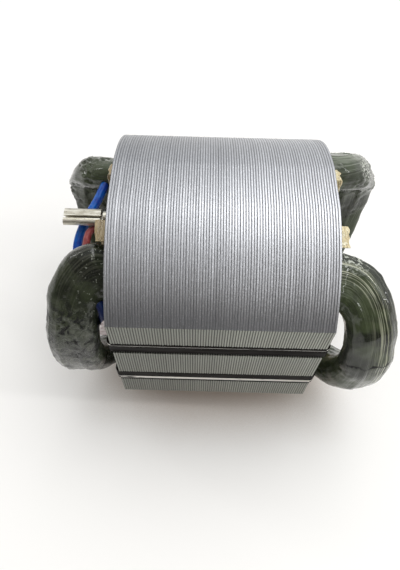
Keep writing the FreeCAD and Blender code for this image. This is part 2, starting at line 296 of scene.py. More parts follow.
def edge_band(outline, x, depth):
    """Points of the stack's edge: the outline at every x, drawn in by depth."""
    drawn = outline[None] - outward(outline)[None] * depth[:, None, None]
    along = np.broadcast_to(x[:, None, None], drawn.shape[:2] + (1,))
    return np.concatenate([along, drawn], 2)


def band_faces(rows, across, first=0, turned=False):
    """Quads between rows of a closed ring, as point numbers."""
    row = np.arange(rows - 1)[:, None] * across
    here = np.arange(across)[None]
    after = (here + 1) % across
    quads = np.stack([row + here, row + after, row + across + after, row + across + here], 2)
    quads = quads.reshape(-1, 4) + first
    return quads[:, ::-1] if turned else quads


def end_faces(outer, inner, first_outer, first_inner, turned):
    """Triangles of an end face between its outer and its inner outline."""
    loops = [[(y, z, 0.0) for y, z in loop] for loop in (outer, inner)]
    triangles = np.array(geometry.tessellate_polygon(loops))
    a, b, c = (np.concatenate([outer, inner])[triangles[:, corner]] for corner in range(3))
    area = (b[:, 0] - a[:, 0]) * (c[:, 1] - a[:, 1]) - (b[:, 1] - a[:, 1]) * (c[:, 0] - a[:, 0])
    numbers = np.concatenate([first_outer + np.arange(len(outer)), first_inner + np.arange(len(inner))])
    triangles = numbers[triangles]
    flip = (area < 0) != turned
    triangles[flip] = triangles[flip][:, ::-1]
    return triangles


def speckle_effect():
    """Node group: fine specks, bright where a small cloud passes a threshold."""
    group = bpy.data.node_groups.new("specks", "ShaderNodeTree")
    group.interface.new_socket("Where", in_out="INPUT", socket_type="NodeSocketVector")
    group.interface.new_socket("Scale", in_out="INPUT", socket_type="NodeSocketFloat")
    group.interface.new_socket("Threshold", in_out="INPUT", socket_type="NodeSocketFloat")
    group.interface.new_socket("Softness", in_out="INPUT", socket_type="NodeSocketFloat")
    group.interface.new_socket("Mask", in_out="OUTPUT", socket_type="NodeSocketFloat")
    given = group.nodes.new("NodeGroupInput")
    noise = cloud(group, given.outputs["Where"], given.outputs["Scale"], 2.0, 0.6)
    top = sum_up(group, "ADD", given.outputs["Threshold"], given.outputs["Softness"])
    mask = spread(group, noise, given.outputs["Threshold"], top)
    group.links.new(mask, group.nodes.new("NodeGroupOutput").inputs[0])
    return group


specks = speckle_effect()


def speckled(tree, where, scale, threshold, softness):
    """Mask of fine specks on a piece."""
    made = put(tree, "ShaderNodeGroup", {}, node_tree=specks)
    tree.links.new(where, made.inputs["Where"])
    for name, value in (("Scale", scale), ("Threshold", threshold), ("Softness", softness)):
        made.inputs[name].default_value = value
    return made.outputs[0]


def sheet_edge_finish(name, land, dark, roughness, depth, low_painted_shade=1.0):
    """Punched steel edges: a bright land and a dark crevice every half
    millimetre, each sheet a shade of its own, with burnish marks and specks,
    and painted shade that darkens them lower down and to the left, where
    less light reaches them."""
    finish, tree, out = finish_tree(name)
    place = put(tree, "ShaderNodeTexCoord").outputs["Object"]
    at = parts_of(tree, place)
    count = times(tree, at[0], 1000 / sheet)
    within = sum_up(tree, "PINGPONG", count, 0.5)
    crack = spread(tree, within, 0.30, 0.04)
    number = sum_up(tree, "FLOOR", count)
    own = put(tree, "ShaderNodeTexWhiteNoise", {"W": number}, noise_dimensions="1D").outputs[0]
    drawn = put(tree, "ShaderNodeMapping", {"Vector": place, "Scale": (1.0, 0.8, 0.8)}).outputs[0]
    marks = cloud(tree, drawn, 3600, 3.0, 0.6)
    patches = cloud(tree, place, 60, 3.0)
    bright = speckled(tree, place, 4800, 0.58, 0.06)
    level = sum_up(tree, "ADD", times(tree, own, 0.10), times(tree, marks, 0.42))
    level = sum_up(tree, "ADD", level, times(tree, patches, 0.3))
    shade = spread(tree, level, 0.24, 0.60, 0.80, 1.10)
    shade = sum_up(tree, "ADD", shade, times(tree, bright, 0.32))
    # Painted shade: the steel is darker lower down the round and to the left, where less light reaches it.
    painted_shade = times(tree, spread(tree, at[2], 0.0165, 0.0235, low_painted_shade, 1.0),
                 spread(tree, at[0], -0.021, 0.012, 0.74, 1.0))
    steel = put(tree, "ShaderNodeVectorMath", {0: land[:3], 3: times(tree, shade, painted_shade)},
                operation="SCALE").outputs[0]
    colour = tint(tree, times(tree, crack, depth), steel, dark)
    rough = spread(tree, marks, 0.3, 0.7, roughness - 0.08, roughness + 0.1)
    bump = put(tree, "ShaderNodeBump", {"Strength": 0.12, "Distance": 0.00005, "Height": marks})
    metal = put(tree, "ShaderNodeBsdfPrincipled", {"Base Color": colour, "Metallic": 0.9,
                                                   "Roughness": rough, "Normal": bump.outputs[0]})
    tree.links.new(metal.outputs[0], out.inputs[0])
    return finish


def sheet_face_finish():
    """The end sheet: rolled steel, dull grey, clouded by thin varnish."""
    finish, tree, out = finish_tree("end_sheet_steel")
    place = put(tree, "ShaderNodeTexCoord").outputs["Object"]
    rolled = put(tree, "ShaderNodeMapping", {"Vector": place, "Scale": (1.0, 1.0, 0.08)}).outputs[0]
    grain = cloud(tree, rolled, 3000, 3.0)
    patches = cloud(tree, place, 150, 4.0, 0.6, 0.6)
    colour = tint(tree, spread(tree, patches, 0.4, 0.62), (0.30, 0.31, 0.33, 1), (0.20, 0.20, 0.19, 1))
    colour = tint(tree, spread(tree, grain, 0.35, 0.7, 0.0, 0.5), colour, (0.42, 0.43, 0.45, 1))
    rough = spread(tree, patches, 0.35, 0.65, 0.50, 0.30)
    bump = put(tree, "ShaderNodeBump", {"Strength": 0.2, "Distance": 0.00005, "Height": grain})
    metal = put(tree, "ShaderNodeBsdfPrincipled", {"Base Color": colour, "Metallic": 0.85,
                                                   "Roughness": rough, "Normal": bump.outputs[0]})
    tree.links.new(metal.outputs[0], out.inputs[0])
    return finish


outer_x, outer_depth = sheet_stations((0.0, 0.24, 0.76), (crevice, 0.0, 0.0), 3, 0.05)
inner_x, inner_depth = sheet_stations((0.0, 0.5), (-crevice, 0.0), 4, 0.0)
outer_band = edge_band(outside, outer_x, outer_depth)
inner_band = edge_band(inside, inner_x, inner_depth)
outer_count = outer_band.shape[0] * outer_band.shape[1]
outer_quads = band_faces(len(outer_x), len(outside))
inner_quads = band_faces(len(inner_x), len(inside), outer_count, True)
left_end = end_faces(outer_band[0, :, 1:], inner_band[0, :, 1:], 0, outer_count, True)
right_end = end_faces(outer_band[-1, :, 1:], inner_band[-1, :, 1:], outer_count - len(outside),
                      outer_count + (len(inner_x) - 1) * len(inside), False)
middle_y = (outside[:, 0] + np.roll(outside[:, 0], -1)) / 2
slack = 0.01
on_flat = abs(middle_y) > flat_distance - groove_depth - 10 * slack
on_flat &= abs(outside[:, 1]) < flat_top + slack
on_flat &= abs(np.roll(outside[:, 1], -1)) < flat_top + slack
which = np.concatenate([np.tile(on_flat.astype(int), len(outer_x) - 1), np.full(len(inner_quads), 3),
                        np.full(len(left_end) + len(right_end), 2)])
# The flats get a darker, greener copy of the round's steel: painted shade and a painted reflection of the
# bench below them.
stack_finishes = [
    sheet_edge_finish("sheet_edges_round", (0.585, 0.595, 0.62, 1), (0.175, 0.18, 0.195, 1), 0.45,
                      0.76, 0.48),
    sheet_edge_finish("sheet_edges_flat", (0.345, 0.355, 0.318, 1), (0.050, 0.053, 0.042, 1), 0.42, 1.0),
    sheet_face_finish(),
    sheet_edge_finish("sheet_edges_bore", (0.40, 0.40, 0.41, 1), (0.05, 0.05, 0.05, 1), 0.40, 0.84)]
stack = lay_mesh("pressed_stack", np.concatenate([outer_band.reshape(-1, 3), inner_band.reshape(-1, 3)]),
                 [outer_quads, inner_quads, left_end, right_end], stack_finishes, which)
stack.data.set_sharp_from_angle(angle=np.radians(25))
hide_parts("lamination_stack")
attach(stack, "root")

# ----------------------------------------------------------------- cleats
# Four steel strips pressed into dovetailed grooves behind the poles, with
# their ends bent over the end sheets, under the dark varnish that the whole
# field was dipped in.  A narrow bright line along each is a painted
# highlight, where light glints along the strip's crest.
highlight_edges = (0.00814, 0.00820), (0.00850, 0.00856)      # metres above and below the bore's axis
finish, tree, out = finish_tree("varnished_cleat")
place = put(tree, "ShaderNodeTexCoord").outputs["Object"]
side = sum_up(tree, "ABSOLUTE", parts_of(tree, place)[2])
# Painted highlight: a thin near-white line along each strip, broken where the smear cloud is low.
highlight_line = sum_up(tree, "SUBTRACT", spread(tree, side, *highlight_edges[0]), spread(tree, side, *highlight_edges[1]))
along = put(tree, "ShaderNodeMapping", {"Vector": place, "Scale": (0.12, 1.0, 1.0)}).outputs[0]
smear = cloud(tree, along, 900, 4.0, 0.6, 0.4)
painted_highlight = times(tree, highlight_line, spread(tree, smear, 0.30, 0.42))
colour = tint(tree, painted_highlight, (0.008, 0.0065, 0.0055, 1), (0.95, 0.93, 0.88, 1))
cleat_metal = put(tree, "ShaderNodeBsdfPrincipled", {
    "Base Color": colour, "Metallic": times(tree, painted_highlight, 0.3),
    "Roughness": spread(tree, smear, 0.3, 0.7, 0.35, 0.6), "Specular IOR Level": 0.04,
    "Normal": put(tree, "ShaderNodeBump", {"Strength": 0.5, "Distance": 0.0001, "Height": smear}).outputs[0]})
tree.links.new(cleat_metal.outputs[0], out.inputs[0])
for corner in ("front_upper", "front_lower", "rear_upper", "rear_lower"):
    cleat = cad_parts["cleat_" + corner]
    cleat.data.materials.clear()
    cleat.data.materials.append(finish)

# ----------------------------------------------------------- slot liners
# Sleeves of tan insulating paper that line the four slots.  The fold that
# closes each sleeve stands out of both end sheets as a stiff, varnished tab
# with yellow, crumbly beads.  One torn flap of the paper is left standing.
paper_gap = 0.05
paper = 0.3
tab_length = 2.8
short_tab_length = 1.9
tab_proud = 0.25
tab_start_angle = 67.5
closing_angle = 76.5
torn_low, torn_high = 8.3, 14.6
torn_width = 2.2
torn_narrowing = 1.3        # how much narrower the flap is at its top
torn_back = -21.75
torn_thickness = 0.15
torn_gap = 0.02             # between the flap and the end sheet


def slot_outline(inset, across=26):
    """Closed outline (y, z) of the front upper slot, drawn in by inset.

    Its five corners are solved exactly: shoe and neck, neck and back, back
    and yoke, yoke and closing fold, closing fold and shoe."""
    shoe = shoe_radius + inset
    yoke = yoke_radius - inset
    neck = neck_half + inset
    back = -slot_back + inset
    shoe_low = np.degrees(np.arcsin(neck / shoe))
    yoke_low = np.degrees(np.arccos(-back / yoke))
    shoe_high = closing_angle - np.degrees(np.arcsin(inset / shoe))
    yoke_high = closing_angle - np.degrees(np.arcsin(inset / yoke))
    down = np.linspace(0, 1, 7)[1:-1, None]
    shoe_arc = arc(shoe, shoe_high, shoe_low, across)
    yoke_arc = arc(yoke, yoke_low, yoke_high, across)
    corner = np.array([[back, neck]])
    to_corner = shoe_arc[-1:] + down * (corner - shoe_arc[-1:])
    to_yoke = corner + down * (yoke_arc[:1] - corner)
    to_shoe = yoke_arc[-1:] + down * (shoe_arc[:1] - yoke_arc[-1:])
    return np.concatenate([shoe_arc, to_corner, corner, to_yoke, yoke_arc, to_shoe])


def ripple(points, waves, size, seed):
    """Smooth random height at points: the mean of several sine waves, whose
    directions and phases are random and whose length is about size."""
    dice = np.random.default_rng(seed)
    way = dice.normal(size=(waves, points.shape[-1]))
    way *= (2 * np.pi / size) * dice.uniform(0.6, 1.6, (waves, 1)) / np.linalg.norm(way, axis=1)[:, None]
    phase = dice.uniform(0, 2 * np.pi, waves)
    return np.sin(points @ way.T + phase).sum(-1) / np.sqrt(waves / 2)


def closed_strip(outer, inner, x):
    """Rings of a strip with thickness: at every x its outer line, then its
    inner line backwards, so that each ring goes once round the strip."""
    ring = np.concatenate([outer, inner[::-1]])
    along = np.broadcast_to(np.reshape(x, (-1, 1, 1)), (len(x), len(ring), 1))
    return np.concatenate([along, np.broadcast_to(ring, (len(x),) + ring.shape)], 2)


def fold_line(inset, points=16):
    """Line (y, z) round the closing fold, from the yoke side over the fold to
    the shoe side, drawn in by inset; the tab follows it."""
    shoe = shoe_radius + inset
    yoke = yoke_radius - inset
    shoe_high = closing_angle - np.degrees(np.arcsin(inset / shoe))
    yoke_high = closing_angle - np.degrees(np.arcsin(inset / yoke))
    upper = arc(yoke, tab_start_angle, yoke_high, points)
    lower = arc(shoe, shoe_high, tab_start_angle, points)
    down = np.linspace(0, 1, points + 2)[1:-1, None]
    return np.concatenate([upper, upper[-1:] + down * (lower[:1] - upper[-1:]), lower])


def tab_skin(end, length, seed):
    """Skin of one tab: the fold line's two offsets carried out along X, with
    creases across the paper, a ragged end and softened corners."""
    share = np.linspace(0, 1, 25)
    outer, inner = fold_line(-tab_proud), fold_line(paper_gap + paper)
    rings = closed_strip(outer, inner, stack_half + length * share)
    heart = (outer + inner)[None, :] / 2
    heart = np.concatenate([heart, heart[:, ::-1]], 1)
    where = rings * (3.0, 1.0, 1.0)
    creases = ripple(where, 14, 1.6, seed) * 0.07 + ripple(where, 14, 0.7, seed + 1) * 0.03
    rounding = np.clip((share - 0.9) / 0.1, 0, 1)[:, None] ** 2
    keep = (1 + creases * np.clip(share[:, None] * 8, 0, 1) - 0.12) * (1 - 0.55 * rounding)
    rings[:, :, 1:] = heart + (rings[:, :, 1:] - heart) * keep[:, :, None]
    ragged = ripple(heart, 10, 2.0, seed + 2) * 0.10 - 0.16
    rings[:, :, 0] += share[:, None] ** 2 * ragged
    rings[:, :, 0] *= end
    return rings


def torn_corner():
    """Skin of a torn flap of the paper, left standing out of the slot's back
    wall beyond the left end sheet: narrow at the top and ragged."""
    height = np.linspace(torn_low, torn_high, 24)
    share = np.linspace(0, 1, 9)
    bend = 0.12 * np.sin(height * 1.7)
    outer = np.stack([torn_back + bend, height], 1)
    inner = np.stack([torn_back + torn_thickness + bend, height], 1)
    rings = closed_strip(outer, inner, np.zeros(len(share)))
    up = (rings[:, :, 2] - torn_low) / (torn_high - torn_low)
    ragged = 0.12 * np.sin(rings[:, :, 2] * 5.1) + 0.08 * np.sin(rings[:, :, 2] * 11.0)
    width = torn_width - torn_narrowing * up ** 1.5 + ragged
    rings[:, :, 0] = -(stack_half + torn_gap + share[:, None] * width)
    return rings


def sleeve_skin():
    """Skin of the sleeve inside the slot: outer rings, then inner rings."""
    outer, inner = slot_outline(paper_gap), slot_outline(paper_gap + paper)
    rings = [np.insert(ring, 0, x, 1) for ring, x in ((outer, -stack_half), (outer, stack_half),
                                                      (inner, stack_half), (inner, -stack_half))]
    return np.array(rings)


def capped_tube(rings, first, turned):
    """Quads along a tube of closed rings and across both of its open ends,
    where a ring's first half faces its second half."""
    across = rings.shape[1]
    quads = band_faces(len(rings), across, first, turned)
    half = np.arange(across // 2 - 1)
    start = np.stack([half, half + 1, across - 2 - half, across - 1 - half], 1) + first
    finish = start + (len(rings) - 1) * across
    start, finish = (finish, start) if turned else (start, finish)
    return np.concatenate([quads, start[:, ::-1], finish])


def paper_finish():
    """Tan paper with fibres, soaked here and there with yellow varnish, and
    browner towards the left."""
    finish, tree, out = finish_tree("liner_paper")
    place = put(tree, "ShaderNodeTexCoord").outputs["Object"]
    long = put(tree, "ShaderNodeMapping", {"Vector": place, "Scale": (3.0, 0.5, 0.5)}).outputs[0]
    folds = cloud(tree, long, 700, 3.0, 0.6, 0.8)
    fibres = cloud(tree, place, 2400, 4.0, 0.7)
    beads = speckled(tree, place, 1100, 0.56, 0.05)
    colour = tint(tree, spread(tree, folds, 0.38, 0.62), (0.46, 0.35, 0.16, 1), (0.74, 0.65, 0.38, 1))
    colour = tint(tree, spread(tree, fibres, 0.35, 0.7, 0.0, 0.5), colour, (0.80, 0.70, 0.44, 1))
    colour = tint(tree, beads, colour, (0.86, 0.80, 0.58, 1))
    browner = spread(tree, parts_of(tree, place)[0], -0.0200, 0.0, 0.75, 0.0)
    colour = tint(tree, browner, colour, (0.30, 0.21, 0.10, 1))
    height = sum_up(tree, "ADD", folds, times(tree, beads, 0.4))
    bump = put(tree, "ShaderNodeBump", {"Strength": 0.9, "Distance": 0.0003, "Height": height})
    skin = put(tree, "ShaderNodeBsdfPrincipled", {
        "Base Color": colour, "Roughness": spread(tree, beads, 0.0, 1.0, 0.5, 0.2),
        "Coat Weight": 0.5, "Coat Roughness": 0.12, "Normal": bump.outputs[0]})
    tree.links.new(skin.outputs[0], out.inputs[0])
    return finish


liner_finish = paper_finish()
torn_finish, tree, out = finish_tree("torn_paper")
fluff = cloud(tree, put(tree, "ShaderNodeTexCoord").outputs["Object"], 1600, 4.0, 0.6)
torn_skin = put(tree, "ShaderNodeBsdfPrincipled", {
    "Base Color": tint(tree, spread(tree, fluff, 0.35, 0.65), (0.60, 0.50, 0.50, 1), (0.86, 0.80, 0.80, 1)),
    "Roughness": 0.7})
tree.links.new(torn_skin.outputs[0], out.inputs[0])
mirrors = {"front_upper": (1, 1), "front_lower": (1, -1), "rear_upper": (-1, 1), "rear_lower": (-1, -1)}
for seed, (corner, (front, up)) in enumerate(mirrors.items()):
    sleeve = sleeve_skin()
    left_length = short_tab_length if corner == "rear_upper" else tab_length
    right_tab = tab_skin(1, tab_length, 10 * seed)
    left_tab = tab_skin(-1, left_length, 10 * seed + 5)
    first_right = sleeve[:, :, 0].size
    first_left = first_right + right_tab[:, :, 0].size
    quads = np.concatenate([
        band_faces(len(sleeve) + 1, sleeve.shape[1]) % first_right,
        capped_tube(right_tab, first_right, False), capped_tube(left_tab, first_left, True)])
    skins = [sleeve, right_tab, left_tab]
    which = np.zeros(len(quads))
    if corner == "front_upper":
        torn = torn_corner()
        torn_quads = capped_tube(torn, first_left + left_tab[:, :, 0].size, True)
        quads = np.concatenate([quads, torn_quads])
        which = np.concatenate([which, np.ones(len(torn_quads))])
        skins.append(torn)
    points = np.concatenate([skin.reshape(-1, 3) for skin in skins])
    if front * up < 0:
        quads = quads[:, ::-1]
    liner = lay_mesh("liner_" + corner, points * (1, front, up), [quads],
                     [liner_finish, torn_finish], which)
    liner.data.set_sharp_from_angle(angle=np.radians(50))
    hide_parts("slot_liner_" + corner)
    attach(liner, "root")

# ------------------------------------------------------------------ coils
# Two bundles of enamelled wire, each wound round its pole, wrapped in thin
# green film and dipped in varnish.  The strands raise low lines along the
# bundle, and the varnish is glossy, dark and greener where it is thick.
coil_gap = 0.02
root_gap = 0.3
slot_start_angle = yoke_start
root_start_angle = 38.5
end_angle = 67.0
root_x = stack_half + root_gap
bundle_inner = shoe_radius + paper_gap + paper + coil_gap
bundle_outer = yoke_radius - paper_gap - paper - coil_gap
slot_squareness = 2.5
turn_squareness = 2.3
bundle_points = 120         # round the bundle
turn_rings = 120            # along one arch
slot_rings = 20             # along one slot
free_run = 1.5              # from the root to where the film's relief is full
strand_count = 15
strand_height = 0.16
strand_top = 1.4            # where strands that cross stop adding up
film_inset = 0.38           # how far inside the section the film lies between strands
shoulder_angle, shoulder_spread = 62, 8
flank_angle, flank_spread = 47, 9
flank_share = 0.9           # of the shoulder's height
inner_shade_height = 0.0045        # metres, of the painted shade on the right arch's inner side
crack_drop = 0.0029         # metres below the bore's axis, at X = 0
crack_slope = 0.28          # how much the crack rises along X
crack_wander = 0.0035       # metres, for the whole range of the noise


def rounded(angle, exponent):
    """Point of the rounded square |q|^n + |w|^n = 1 in a direction."""
    q, w = np.cos(angle), np.sin(angle)
    size = (abs(q) ** exponent + abs(w) ** exponent) ** (-1 / exponent)
    return q * size, w * size


def bundle_ring(near, far, inner, outer, round_it, outer_exponent, inner_exponent, lean):
    """Rings round the bundle between two edges, given as (angle, x), and two
    radii.  The section is a rounded square, with one exponent for its outer
    half and another for its inner half; lean shortens the outer far side."""
    exponent = np.where(round_it[None] <= np.pi, outer_exponent[:, None], inner_exponent[:, None])
    q, w = rounded(round_it[None], exponent)
    (near_angle, near_x), (far_angle, far_x) = near, far
    angle = np.radians((near_angle + far_angle)[:, None] / 2 + q * (far_angle - near_angle)[:, None] / 2)
    x = (near_x + far_x)[:, None] / 2 + q * (far_x - near_x)[:, None] / 2
    x = x - lean[:, None] * (1 + w) / 2 * (1 + q) / 2
    r = (inner + outer)[:, None] / 2 + w * (outer - inner)[:, None] / 2
    return np.stack([x, -r * np.cos(angle), r * np.sin(angle)], 2)


def slot_ring(end, side, round_it):
    """The ring where the bundle leaves a slot; side is 1 above, -1 below."""
    one = np.ones(1)
    return bundle_ring((side * slot_start_angle * one, end * stack_half * one),
                       (side * end_angle * one, end * stack_half * one), bundle_inner * one,
                       bundle_outer * one, round_it, slot_squareness * one, slot_squareness * one, 0 * one)


def end_turn(end, reach, window, crown_inset, root_inset, depth, outer_crown, inner_crown, lean, rings,
             round_it):
    """Rings of one arch from the upper slot to the lower.

    The near and the far edge each follow half a rounded square on the
    cylinder about the bore; a ring spans the two, and its radii blend from
    the root's to the crown's by 3t^2 - 2t^3."""
    along, out = rounded(np.linspace(0, np.pi, rings), turn_squareness)
    lift = 3 * out ** 2 - 2 * out ** 3
    crown_radius, root_radius = outer_radius - crown_inset, outer_radius - root_inset
    near = root_start_angle * along, end * (root_x + (stack_half + window - root_x) * out)
    far = end_angle * along, end * (root_x + (stack_half + reach - root_x) * out)
    inner = bundle_inner + lift * (crown_radius - depth - bundle_inner)
    outer = root_radius + lift * (crown_radius - root_radius)
    outer_exponent = slot_squareness + lift * (outer_crown - slot_squareness)
    inner_exponent = slot_squareness + lift * (inner_crown - slot_squareness)
    arch = bundle_ring(near, far, inner, outer, round_it, outer_exponent, inner_exponent, end * lean * out)
    return np.concatenate([slot_ring(end, 1, round_it), arch, slot_ring(end, -1, round_it)])


def coil_skin(right_turn, left_turn, shoulder, crumple, seed):
    """Skin of one coil, ring by ring: the right arch, the lower slot, the
    left arch and the upper slot, then back to the start.  The left arch is
    fuller by shoulder where it leaves the upper slot, and nearly as much on
    its far side next to that.  The film's folds are sharp ridges, up to
    crumple high, in some places only."""
    round_it = np.linspace(0, 2 * np.pi, bundle_points + 1)[:-1]
    right = end_turn(1, *right_turn, turn_rings, round_it)
    left = end_turn(-1, *left_turn, turn_rings, round_it)[::-1]
    share = np.linspace(0, 1, slot_rings + 2)[1:-1, None, None]
    lower = right[-1] + share * (left[0] - right[-1])
    upper = left[-1] + share * (right[0] - left[-1])
    rings = np.concatenate([right, lower, left, upper])
    heart = rings.mean(1, keepdims=True)
    along = np.roll(rings, -1, 0) - np.roll(rings, 1, 0)
    across = np.roll(rings, -1, 1) - np.roll(rings, 1, 1)
    normal = np.cross(along, across)
    normal /= np.linalg.norm(normal, axis=2)[:, :, None]
    outer = ((rings - heart) * normal).sum(2, keepdims=True)
    normal *= np.sign(outer.mean())
    dice = np.random.default_rng(seed)
    walk = np.cumsum(np.linalg.norm(np.diff(heart[:, 0], axis=0, append=heart[:1, 0]), axis=1))
    strands = np.zeros(rings.shape[:2])
    for _ in range(strand_count):
        middle = dice.uniform(0, 2 * np.pi) + 0.12 * np.sin(walk / dice.uniform(6, 14) + dice.uniform(0, 6))
        width = dice.uniform(0.05, 0.12)
        apart = (round_it[None] - middle[:, None] + np.pi) % (2 * np.pi) - np.pi
        fade = 0.5 + 0.5 * np.sin(walk / dice.uniform(9, 20) + dice.uniform(0, 6))
        strands += (0.4 + 0.6 * fade[:, None]) * np.exp(-(apart / width) ** 2)
    lumps = ripple(rings, 24, 9.0, seed) * 0.10 + ripple(rings, 24, 3.0, seed + 1) * 0.03
    folds = ripple(rings, 24, 2.2, seed + 2)
    lumps += crumple * (1 - abs(folds)) * np.clip(ripple(rings, 24, 8.0, seed + 3), 0, 1)
    free = np.clip((abs(heart[:, :, 0]) - root_x) / free_run, 0, 1)
    height = (np.minimum(strands, strand_top) * strand_height + lumps - film_inset) * free
    angle = np.degrees(np.arctan2(rings[:, :, 2], -rings[:, :, 1]))
    swell = np.exp(-((angle - shoulder_angle) / shoulder_spread) ** 2)
    far_side = np.clip(np.cos(round_it), 0, 1)[None]
    swell += flank_share * far_side * np.exp(-((angle - flank_angle) / flank_spread) ** 2)
    height += shoulder * swell * (rings[:, :, 0] < 0) * free
    return rings + normal * height[:, :, None], walk


def coil_faces(rings, around, walk):
    """Quads of a skin closed both ways, and its unwrap: the turn round the
    bundle from 0 to 1, and the way along it in millimetres."""
    quads = band_faces(rings + 1, around) % (rings * around)
    u = np.arange(around) / around
    step = 1 / around
    before = np.concatenate([[0.0], walk[:-1]])
    low_u, low_v = np.broadcast_arrays(u[None], before[:, None])
    high_v = np.broadcast_to(walk[:, None], low_u.shape)
    corners = np.stack([np.stack([low_u, low_v], 2), np.stack([low_u + step, low_v], 2),
                        np.stack([low_u + step, high_v], 2), np.stack([low_u, high_v], 2)], 2)
    return quads, corners.reshape(-1, 2)


def varnish_finish(name, deep, thin, pale, bright, roughness, crinkled, marks_and_shade):
    """Green film under dark varnish: paler along the strands and on creases,
    nearly black where the varnish has pooled, glossy on top.

    Pale streaks run along its outer shoulder, fading towards the left: in
    part a painted highlight.  On the right arch the upper rim is dark, the
    inner side is darkened by painted shade, and a crack crosses the front one
    low down.  It is flaked white about the point crinkled, and towards the
    left it is darkened by painted shade, pitted, mottled and sprinkled with
    painted glints, as much as the last argument gives."""
    finish, tree, out = finish_tree(name)
    place = put(tree, "ShaderNodeTexCoord").outputs["Object"]
    at = parts_of(tree, place)
    turn, along = parts_of(tree, put(tree, "ShaderNodeUVMap", uv_map="run").outputs[0])[:2]

    lines_at = put(tree, "ShaderNodeCombineXYZ", {0: times(tree, turn, 60.0), 1: times(tree, along, 0.10)})
    lines = cloud(tree, lines_at.outputs[0], 1.0, 3.0, 0.6, 0.3)
    fine_at = put(tree, "ShaderNodeVectorMath", {0: lines_at.outputs[0], 1: (3.1, 2.3, 1.0)},
                  operation="MULTIPLY")
    fine = cloud(tree, fine_at.outputs[0], 1.0, 2.0, 0.5, 0.2)
    pools = cloud(tree, place, 130, 4.0, 0.55, 0.5)
    grit = cloud(tree, place, 1500, 4.0, 0.65)
    mottle = cloud(tree, place, 480, 6.0, 0.72, 0.8)
    colour = tint(tree, spread(tree, pools, 0.38, 0.60), deep, thin)
    colour = tint(tree, spread(tree, lines, 0.60, 0.74, 0.0, 0.55), colour, pale)

    # Pale streaks along the outer shoulder, in part a painted highlight: strongest on the right and fading to
    # the left, away from the light.
    streaks_at = put(tree, "ShaderNodeCombineXYZ", {0: times(tree, turn, 115.0), 1: times(tree, along, 0.09)})
    streaks_and_sheen = spread(tree, cloud(tree, streaks_at.outputs[0], 1.0, 2.0, 0.5, 0.1), 0.50, 0.61, 0.0, 0.9)
    outer_side = sum_up(tree, "SUBTRACT", spread(tree, turn, 0.015, 0.045), spread(tree, turn, 0.16, 0.29))
    sheen_rightward = spread(tree, at[0], -0.01, 0.01, 0.12, 1.0)
    colour = tint(tree, times(tree, times(tree, streaks_and_sheen, outer_side), sheen_rightward), colour, bright)

    right = spread(tree, at[0], 0.015, 0.020)
    dark_rim = times(tree, spread(tree, turn, 0.175, 0.125), spread(tree, at[2], 0.004, 0.011))
    colour = tint(tree, times(tree, times(tree, dark_rim, right), 0.85 * marks_and_shade), colour, deep)
    # Painted shade: nearly black on the right arch's inner side, a few millimetres above the bore's axis.
    off_middle = sum_up(tree, "ABSOLUTE", sum_up(tree, "SUBTRACT", at[2], inner_shade_height))
    inner_shade = times(tree, spread(tree, off_middle, 0.0060, 0.0020), spread(tree, turn, 0.21, 0.29))
    inner_shade = times(tree, times(tree, inner_shade, right), 0.75 * marks_and_shade)
    colour = tint(tree, inner_shade, colour, (0.003, 0.004, 0.002, 1))

    left = spread(tree, at[0], -0.0262, -0.0222, 1.0, 0.0)
    pits = times(tree, speckled(tree, place, 1100, 0.58, 0.05), left)
    # Painted shade: the left end is darkened towards black, as it lies in weaker light.
    colour = tint(tree, times(tree, left, 0.45 * marks_and_shade), colour, (0.004, 0.005, 0.003, 1))
    low_left = times(tree, left, spread(tree, at[2], 0.012, 0.017, marks_and_shade, 0.1))
    pale_patches = times(tree, spread(tree, mottle, 0.49, 0.40), times(tree, low_left, 0.45))
    colour = tint(tree, pale_patches, colour, (0.15, 0.16, 0.12, 1))
    pocks = times(tree, spread(tree, mottle, 0.548, 0.572), times(tree, low_left, 0.95))
    colour = tint(tree, pocks, colour, (0.002, 0.002, 0.0015, 1))

    apart = put(tree, "ShaderNodeVectorMath", {0: place, 1: crinkled}, operation="DISTANCE").outputs["Value"]
    flakes = times(tree, speckled(tree, place, 1900, 0.53, 0.05),
                   spread(tree, apart, 0.0020, 0.0048, 1.0, 0.0))
    colour = tint(tree, flakes, colour, (0.42, 0.44, 0.38, 1))
    # Painted glints: pale specks towards the left end, where the crumpled film catches the light.
    painted_glints = times(tree, speckled(tree, place, 1700, 0.655, 0.03),
                   spread(tree, at[0], -0.0300, -0.0230, 0.0, marks_and_shade))
    painted_glints = times(tree, painted_glints, spread(tree, at[0], -0.0200, -0.0195, 0.6, 0.0))
    colour = tint(tree, painted_glints, colour, (0.40, 0.42, 0.36, 1))

    wander = times(tree, sum_up(tree, "SUBTRACT", cloud(tree, place, 420), 0.5), crack_wander)
    above = sum_up(tree, "SUBTRACT", at[2], times(tree, at[0], crack_slope))
    above = sum_up(tree, "ADD", sum_up(tree, "ADD", above, crack_drop), wander)
    crack = spread(tree, sum_up(tree, "ABSOLUTE", above), 0.00030, 0.00014)
    crack = times(tree, crack, spread(tree, at[0], 0.0240, 0.0262))
    crack = times(tree, crack, spread(tree, at[1], -0.020, -0.022))
    colour = tint(tree, crack, colour, (0.003, 0.003, 0.002, 1))

